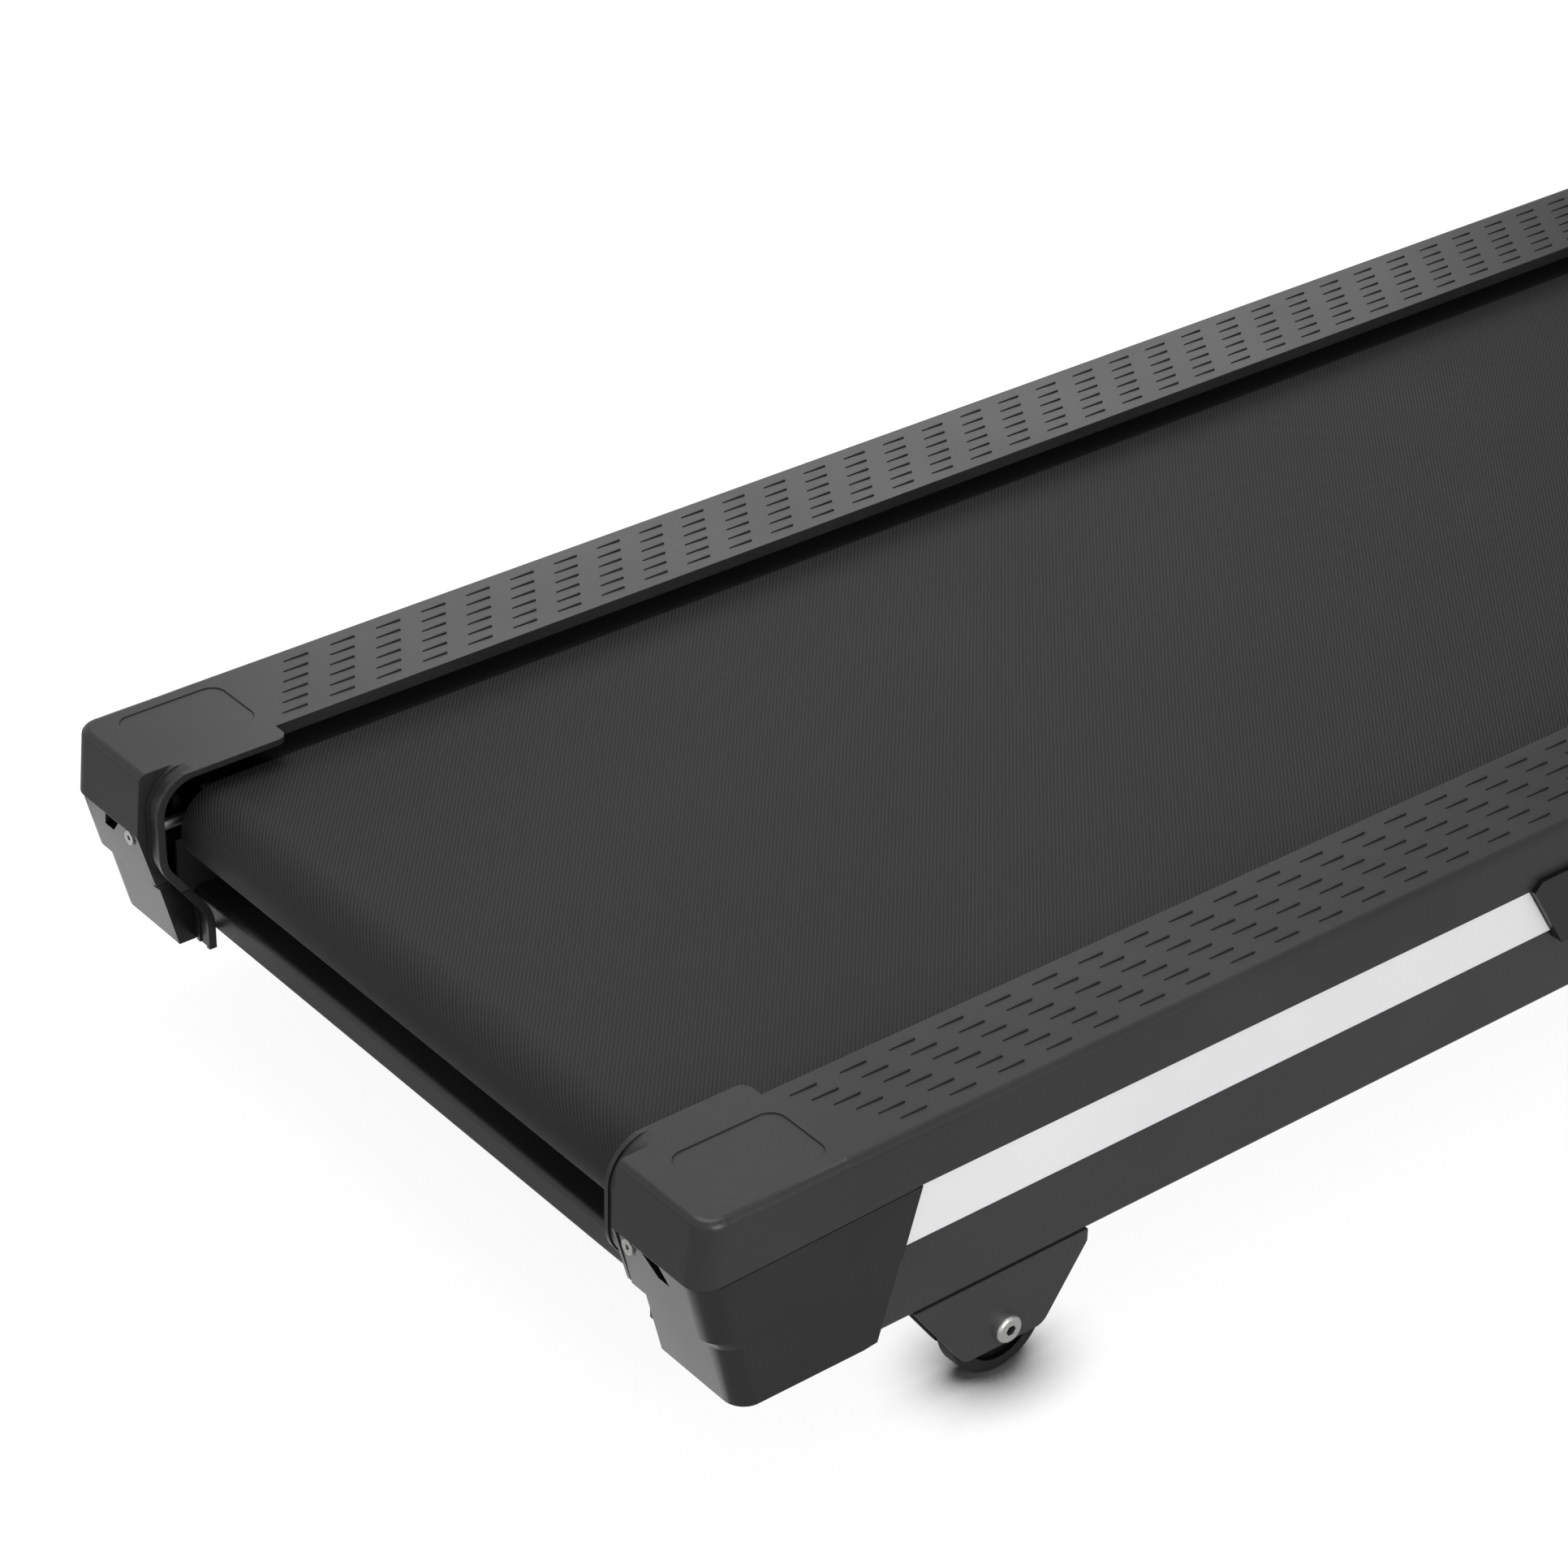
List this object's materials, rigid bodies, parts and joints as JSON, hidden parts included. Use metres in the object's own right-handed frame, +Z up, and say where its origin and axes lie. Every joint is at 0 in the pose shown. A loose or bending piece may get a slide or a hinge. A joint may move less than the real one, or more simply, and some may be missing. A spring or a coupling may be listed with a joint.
{
  "type": "treadmill",
  "caption": "Folding home treadmill: a belt round two rollers on a steel deck frame between moulded foot rails, with a motor hood, uprights, handrails and a tilted console.",
  "frame": {"origin": "on the floor below the middle of the machine's length and width", "axes": "+X to the runner's right, +Y forward to the console, +Z up"},
  "size_m": [0.724, 1.75, 1.2878],
  "materials": {
    "frame_paint": "charcoal powder coat, satin",
    "zinc_steel": "bright zinc plate",
    "foot_rubber": "matte black rubber",
    "cover_plastic": "moulded, fine texture",
    "grip_foam": "closed-cell foam",
    "console_plastic": "moulded, fine texture",
    "display_window": "polished dark window",
    "cushion_rubber": "matte rubber",
    "deck_board": "fibreboard with a waxed dark face",
    "belt_rubber": "matte PVC with a fine diagonal rib",
    "drive_rubber": "ribbed rubber",
    "rail_plastic": "moulded, semi-matte dark grey",
    "strip_silver": "satin silver",
    "plate_plastic": "moulded, semi-matte dark grey",
    "hood_plastic": "moulded, semi-matte dark grey",
    "motor_paint": "black paint",
    "controller_alloy": "extruded, plain",
    "entry_plastic": "moulded, smooth",
    "roller_steel": "ground steel",
    "bearing_steel": "polished steel",
    "flywheel_iron": "turned iron",
    "wheel_plastic": "moulded nylon",
    "switch_plastic": "moulded, glossy",
    "stop_red": "moulded, satin",
    "start_green": "moulded, satin",
    "button_grey": "moulded, satin",
    "key_red": "moulded, satin"
  },
  "bodies": {
    "base": {"base_side_tube_left": "frame_paint", "base_side_tube_right": "frame_paint", "base_cross_tubes": "frame_paint", "pivot_brackets": "frame_paint", "transport_wheel_forks": "frame_paint", "upright_left": "frame_paint", "upright_right": "frame_paint", "handrail_left": "frame_paint", "handrail_right": "frame_paint", "fold_pivot_pins": "zinc_steel", "transport_wheel_bolts": "zinc_steel", "base_feet": "foot_rubber", "upright_covers": "cover_plastic", "tube_end_plugs": "cover_plastic", "handrail_grips": "grip_foam", "console_shell": "console_plastic", "console_back": "console_plastic", "console_tray": "console_plastic", "display_lens": "display_window"},
    "deck": {"side_frame_left": "frame_paint", "side_frame_right": "frame_paint", "rear_cross_tube": "frame_paint", "deck_cross_tubes": "frame_paint", "roller_brackets": "frame_paint", "wheel_brackets": "frame_paint", "motor_pan": "frame_paint", "motor_bracket": "frame_paint", "roller_axles": "zinc_steel", "belt_tension_bolts": "zinc_steel", "wheel_bolts": "zinc_steel", "deck_cushions": "cushion_rubber", "running_deck": "deck_board", "running_belt": "belt_rubber", "drive_belt": "drive_rubber", "side_rail_left": "rail_plastic", "side_rail_right": "rail_plastic", "rear_cap_left": "rail_plastic", "rear_cap_right": "rail_plastic", "side_strips": "strip_silver", "side_plates": "plate_plastic", "motor_hood": "hood_plastic", "drive_motor": "motor_paint", "motor_controller": "controller_alloy", "power_entry": "entry_plastic"},
    "rear_roller": {"rear_roller": "roller_steel", "rear_roller_bearings": "bearing_steel"},
    "front_roller": {"front_roller": "roller_steel", "front_roller_bearings": "bearing_steel"},
    "motor_rotor": {"motor_shaft": "roller_steel", "flywheel": "flywheel_iron"},
    "rear_wheel_left": {"rear_wheel_left": "wheel_plastic"},
    "transport_wheel_left": {"transport_wheel_left": "wheel_plastic"},
    "rear_wheel_right": {"rear_wheel_right": "wheel_plastic"},
    "transport_wheel_right": {"transport_wheel_right": "wheel_plastic"},
    "power_switch": {"power_switch": "switch_plastic"},
    "stop_button": {"stop_button": "stop_red"},
    "start_button": {"start_button": "start_green"},
    "slower_button": {"slower_button": "button_grey"},
    "faster_button": {"faster_button": "button_grey"},
    "safety_key": {"safety_key": "key_red"}
  },
  "joints": [
    {"name": "deck_fold", "type": "hinge", "parent": "base", "child": "deck", "pos_m": [0, 0.8, 0.095], "axis": [-1, 0, 0], "range_deg": [0, 70]},
    {"name": "front_roller_spin", "type": "hinge", "parent": "deck", "child": "front_roller", "pos_m": [0, 0.56, 0.1582], "axis": [1, 0, 0], "continuous": true},
    {"name": "rear_roller_spin", "type": "hinge", "parent": "deck", "child": "rear_roller", "pos_m": [0, -0.822, 0.1582], "axis": [1, 0, 0], "continuous": true},
    {"name": "motor_spin", "type": "hinge", "parent": "deck", "child": "motor_rotor", "pos_m": [0, 0.705, 0.1512], "axis": [1, 0, 0], "continuous": true},
    {"name": "rear_wheel_left_spin", "type": "hinge", "parent": "deck", "child": "rear_wheel_left", "pos_m": [-0.2865, -0.657, 0.033], "axis": [1, 0, 0], "continuous": true},
    {"name": "rear_wheel_right_spin", "type": "hinge", "parent": "deck", "child": "rear_wheel_right", "pos_m": [0.2865, -0.657, 0.033], "axis": [1, 0, 0], "continuous": true},
    {"name": "transport_wheel_left_spin", "type": "hinge", "parent": "base", "child": "transport_wheel_left", "pos_m": [-0.338, 0.845, 0.029], "axis": [1, 0, 0], "continuous": true},
    {"name": "transport_wheel_right_spin", "type": "hinge", "parent": "base", "child": "transport_wheel_right", "pos_m": [0.338, 0.845, 0.029], "axis": [1, 0, 0], "continuous": true},
    {"name": "power_switch_rock", "type": "hinge", "parent": "deck", "child": "power_switch", "pos_m": [-0.1744, 0.827, 0.099], "axis": [1, 0, 0], "range_deg": [0, 16]},
    {"name": "stop_button_press", "type": "slide", "parent": "base", "child": "stop_button", "axis": [0, 0.766, -0.6428], "range_m": [0, 0.002], "stiffness_N_per_m": 400},
    {"name": "slower_button_press", "type": "slide", "parent": "base", "child": "slower_button", "axis": [0, 0.766, -0.6428], "range_m": [0, 0.002], "stiffness_N_per_m": 400},
    {"name": "faster_button_press", "type": "slide", "parent": "base", "child": "faster_button", "axis": [0, 0.766, -0.6428], "range_m": [0, 0.002], "stiffness_N_per_m": 400},
    {"name": "start_button_press", "type": "slide", "parent": "base", "child": "start_button", "axis": [0, 0.766, -0.6428], "range_m": [0, 0.002], "stiffness_N_per_m": 400},
    {"name": "safety_key_pull", "type": "slide", "parent": "base", "child": "safety_key", "axis": [0, -0.766, 0.6428], "range_m": [0, 0.04]}
  ],
  "couplings": [
    {"joint": "rear_roller_spin", "follows": "front_roller_spin", "ratio": 1},
    {"joint": "motor_spin", "follows": "front_roller_spin", "ratio": 2.4}
  ]
}
